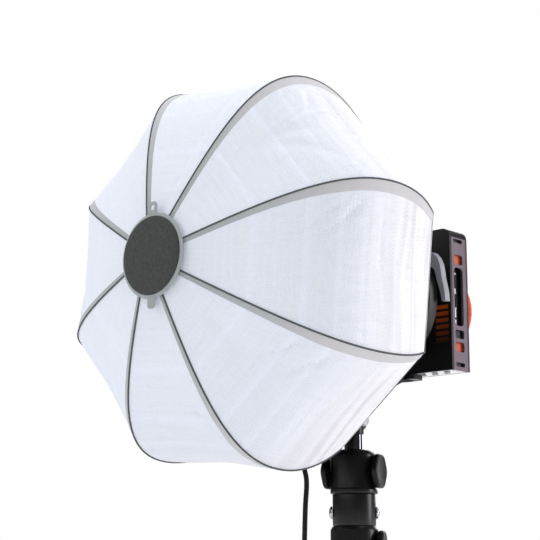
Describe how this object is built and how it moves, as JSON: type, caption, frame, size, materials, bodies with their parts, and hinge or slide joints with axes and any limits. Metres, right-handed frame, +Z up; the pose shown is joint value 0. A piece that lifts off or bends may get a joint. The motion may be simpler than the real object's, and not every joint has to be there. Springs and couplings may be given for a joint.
{
  "type": "studio softbox",
  "caption": "Small folding dome softbox of white translucent fabric on flexible ribs, on a square LED lamp head with a tilting bracket, spigot and stand head.",
  "frame": {"origin": "centre of the stand head's flat foot, on the pan axis", "axes": "+Z up along the stand, -Y the way the dome faces, +X to the dome's left seen from its front"},
  "size_m": [0.3254, 0.398, 0.4327],
  "materials": {
    "translucent_fabric": "white translucent ripstop, matt",
    "black_fabric": "black coated nylon",
    "rib_steel": "spring steel, satin",
    "hub_plastic": "dark grey-green, fine texture",
    "ring_black": "black, satin coat",
    "lever_grey": "grey, satin",
    "case_black": "black, satin coat",
    "case_anodised": "warm purple-grey anodised",
    "case_silver": "clear anodised",
    "sink_aluminium": "extruded",
    "orange_plastic": "orange, glossy",
    "board_white": "white",
    "phosphor": "yellow phosphor",
    "clear_glass": "clear",
    "black_rubber": "matt",
    "stand_black": "black, satin",
    "knob_black": "black, slightly textured",
    "polished_steel": "polished",
    "spigot_black": "black chrome",
    "knob_grey": "grey, satin"
  },
  "bodies": {
    "stand_head": {"stand_tube": "stand_black", "lower_collar": "stand_black", "middle_sleeve": "stand_black", "receiver": "stand_black", "sleeve_rivet_right": "polished_steel", "sleeve_rivet_left": "polished_steel"},
    "receiver_knob_right": {"receiver_knob_right": "knob_black"},
    "receiver_knob_left": {"receiver_knob_left": "knob_black"},
    "collar_knob": {"collar_knob": "knob_black"},
    "pan_head": {"spigot": "spigot_black", "tilt_clevis": "stand_black", "tilt_bolt": "polished_steel"},
    "tilt_knob": {"tilt_knob": "knob_grey"},
    "lamp": {"tilt_arm": "case_black", "case_front": "case_black", "case_rear": "case_black", "side_plate_right": "case_anodised", "side_plate_left": "case_anodised", "top_shell": "case_black", "bottom_plate": "case_silver", "heat_sink": "sink_aluminium", "fan_motor": "knob_black", "rear_dome": "orange_plastic", "mount_collar": "case_black", "led_board": "board_white", "led_emitter": "phosphor", "glass_dome": "clear_glass", "power_socket": "knob_black", "cable": "black_rubber", "cable_plug": "black_rubber"},
    "fan": {"fan_impeller": "orange_plastic"},
    "brightness_dial": {"brightness_dial": "knob_black"},
    "power_button": {"power_button": "orange_plastic"},
    "softbox_ring": {"speedring": "ring_black", "adapter_ring": "ring_black", "lever_pin": "polished_steel", "canopy": "translucent_fabric", "rear_skirt": "black_fabric"},
    "ring_lever": {"ring_lever": "lever_grey"},
    "rear_rib_1": {"rear_rib_1": "rib_steel"},
    "front_rib_1": {"front_rib_1": "rib_steel"},
    "rear_rib_2": {"rear_rib_2": "rib_steel"},
    "front_rib_2": {"front_rib_2": "rib_steel"},
    "rear_rib_3": {"rear_rib_3": "rib_steel"},
    "front_rib_3": {"front_rib_3": "rib_steel"},
    "rear_rib_4": {"rear_rib_4": "rib_steel"},
    "front_rib_4": {"front_rib_4": "rib_steel"},
    "rear_rib_5": {"rear_rib_5": "rib_steel"},
    "front_rib_5": {"front_rib_5": "rib_steel"},
    "rear_rib_6": {"rear_rib_6": "rib_steel"},
    "front_rib_6": {"front_rib_6": "rib_steel"},
    "rear_rib_7": {"rear_rib_7": "rib_steel"},
    "front_rib_7": {"front_rib_7": "rib_steel"},
    "rear_rib_8": {"rear_rib_8": "rib_steel"},
    "front_rib_8": {"front_rib_8": "rib_steel"},
    "hub": {"hub_cap": "hub_plastic", "hub_boss": "knob_black"}
  },
  "joints": [
    {"name": "pan", "type": "hinge", "parent": "stand_head", "child": "pan_head", "pos_m": [0, 0, 0.12], "axis": [0, 0, 1], "continuous": true},
    {"name": "tilt", "type": "hinge", "parent": "pan_head", "child": "lamp", "pos_m": [0, 0, 0.16], "axis": [1, 0, 0], "range_deg": [-45, 30]},
    {"name": "receiver_knob_right_turn", "type": "hinge", "parent": "stand_head", "child": "receiver_knob_right", "pos_m": [0.02161, 0.00787, 0.1155], "axis": [0.9397, 0.342, 0], "range_deg": [0, 360]},
    {"name": "receiver_knob_left_turn", "type": "hinge", "parent": "stand_head", "child": "receiver_knob_left", "pos_m": [-0.02161, -0.00787, 0.1155], "axis": [-0.9397, -0.342, 0], "range_deg": [0, 360]},
    {"name": "collar_knob_turn", "type": "hinge", "parent": "stand_head", "child": "collar_knob", "pos_m": [0.02165, 0.0125, 0.05], "axis": [0.866, 0.5, 0], "range_deg": [0, 360]},
    {"name": "tilt_knob_turn", "type": "hinge", "parent": "pan_head", "child": "tilt_knob", "pos_m": [0.0115, 0, 0.16], "axis": [1, 0, 0], "range_deg": [0, 360]},
    {"name": "fan_spin", "type": "hinge", "parent": "lamp", "child": "fan", "pos_m": [0, 0.092, 0.27], "axis": [0, 1, 0], "continuous": true},
    {"name": "dial_turn", "type": "hinge", "parent": "lamp", "child": "brightness_dial", "pos_m": [-0.06, 0.086, 0.308], "axis": [1, 0, 0], "continuous": true},
    {"name": "power_press", "type": "slide", "parent": "lamp", "child": "power_button", "axis": [1, 0, 0], "range_m": [0, 0.0015], "stiffness_N_per_m": 200},
    {"name": "ring_turn", "type": "hinge", "parent": "lamp", "child": "softbox_ring", "pos_m": [0, 0.055, 0.27], "axis": [0, 1, 0], "range_deg": [-30, 0]},
    {"name": "lever_release", "type": "hinge", "parent": "softbox_ring", "child": "ring_lever", "pos_m": [0.0395, 0.055, 0.307], "axis": [0, -1, 0], "range_deg": [0, 25]},
    {"name": "fold", "type": "hinge", "parent": "softbox_ring", "child": "rear_rib_1", "pos_m": [-0.01474, 0.035, 0.31882], "axis": [0.9573, 0, 0.289], "range_deg": [0, 32.05], "deforming": ["canopy", "rear_skirt"]},
    {"name": "rear_rib_2_root", "type": "hinge", "parent": "softbox_ring", "child": "rear_rib_2", "pos_m": [0.0241, 0.035, 0.31495], "axis": [0.8813, 0, -0.4726], "range_deg": [0, 32.05]},
    {"name": "rear_rib_3_root", "type": "hinge", "parent": "softbox_ring", "child": "rear_rib_3", "pos_m": [0.04882, 0.035, 0.28474], "axis": [0.289, 0, -0.9573], "range_deg": [0, 32.05]},
    {"name": "rear_rib_4_root", "type": "hinge", "parent": "softbox_ring", "child": "rear_rib_4", "pos_m": [0.04495, 0.035, 0.2459], "axis": [-0.4726, 0, -0.8813], "range_deg": [0, 32.05]},
    {"name": "rear_rib_5_root", "type": "hinge", "parent": "softbox_ring", "child": "rear_rib_5", "pos_m": [0.01474, 0.035, 0.22118], "axis": [-0.9573, 0, -0.289], "range_deg": [0, 32.05]},
    {"name": "rear_rib_6_root", "type": "hinge", "parent": "softbox_ring", "child": "rear_rib_6", "pos_m": [-0.0241, 0.035, 0.22505], "axis": [-0.8813, 0, 0.4726], "range_deg": [0, 32.05]},
    {"name": "rear_rib_7_root", "type": "hinge", "parent": "softbox_ring", "child": "rear_rib_7", "pos_m": [-0.04882, 0.035, 0.25526], "axis": [-0.289, 0, 0.9573], "range_deg": [0, 32.05]},
    {"name": "rear_rib_8_root", "type": "hinge", "parent": "softbox_ring", "child": "rear_rib_8", "pos_m": [-0.04495, 0.035, 0.2941], "axis": [0.4726, 0, 0.8813], "range_deg": [0, 32.05]},
    {"name": "rib_1_knuckle", "type": "hinge", "parent": "rear_rib_1", "child": "front_rib_1", "pos_m": [-0.04726, -0.156, 0.42652], "axis": [0.9573, 0, 0.289], "range_deg": [-85.19, 0]},
    {"name": "rib_2_knuckle", "type": "hinge", "parent": "rear_rib_2", "child": "front_rib_2", "pos_m": [0.07726, -0.156, 0.41409], "axis": [0.8813, 0, -0.4726], "range_deg": [-85.19, 0]},
    {"name": "rib_3_knuckle", "type": "hinge", "parent": "rear_rib_3", "child": "front_rib_3", "pos_m": [0.15652, -0.156, 0.31726], "axis": [0.289, 0, -0.9573], "range_deg": [-85.19, 0]},
    {"name": "rib_4_knuckle", "type": "hinge", "parent": "rear_rib_4", "child": "front_rib_4", "pos_m": [0.14409, -0.156, 0.19274], "axis": [-0.4726, 0, -0.8813], "range_deg": [-85.19, 0]},
    {"name": "rib_5_knuckle", "type": "hinge", "parent": "rear_rib_5", "child": "front_rib_5", "pos_m": [0.04726, -0.156, 0.11348], "axis": [-0.9573, 0, -0.289], "range_deg": [-85.19, 0]},
    {"name": "rib_6_knuckle", "type": "hinge", "parent": "rear_rib_6", "child": "front_rib_6", "pos_m": [-0.07726, -0.156, 0.12591], "axis": [-0.8813, 0, 0.4726], "range_deg": [-85.19, 0]},
    {"name": "rib_7_knuckle", "type": "hinge", "parent": "rear_rib_7", "child": "front_rib_7", "pos_m": [-0.15652, -0.156, 0.22274], "axis": [-0.289, 0, 0.9573], "range_deg": [-85.19, 0]},
    {"name": "rib_8_knuckle", "type": "hinge", "parent": "rear_rib_8", "child": "front_rib_8", "pos_m": [-0.14409, -0.156, 0.34726], "axis": [0.4726, 0, 0.8813], "range_deg": [-85.19, 0]},
    {"name": "hub_pivot", "type": "hinge", "parent": "front_rib_1", "child": "hub", "pos_m": [-0.00867, -0.2375, 0.29872], "axis": [0.9573, 0, 0.289], "range_deg": [0, 53.14]}
  ],
  "couplings": [
    {"joint": "rear_rib_2_root", "follows": "fold", "ratio": 1},
    {"joint": "rear_rib_3_root", "follows": "fold", "ratio": 1},
    {"joint": "rear_rib_4_root", "follows": "fold", "ratio": 1},
    {"joint": "rear_rib_5_root", "follows": "fold", "ratio": 1},
    {"joint": "rear_rib_6_root", "follows": "fold", "ratio": 1},
    {"joint": "rear_rib_7_root", "follows": "fold", "ratio": 1},
    {"joint": "rear_rib_8_root", "follows": "fold", "ratio": 1},
    {"joint": "rib_1_knuckle", "follows": "fold", "ratio": -2.6566},
    {"joint": "rib_2_knuckle", "follows": "fold", "ratio": -2.6566},
    {"joint": "rib_3_knuckle", "follows": "fold", "ratio": -2.6566},
    {"joint": "rib_4_knuckle", "follows": "fold", "ratio": -2.6566},
    {"joint": "rib_5_knuckle", "follows": "fold", "ratio": -2.6566},
    {"joint": "rib_6_knuckle", "follows": "fold", "ratio": -2.6566},
    {"joint": "rib_7_knuckle", "follows": "fold", "ratio": -2.6566},
    {"joint": "rib_8_knuckle", "follows": "fold", "ratio": -2.6566},
    {"joint": "hub_pivot", "follows": "fold", "ratio": 1.6566}
  ]
}
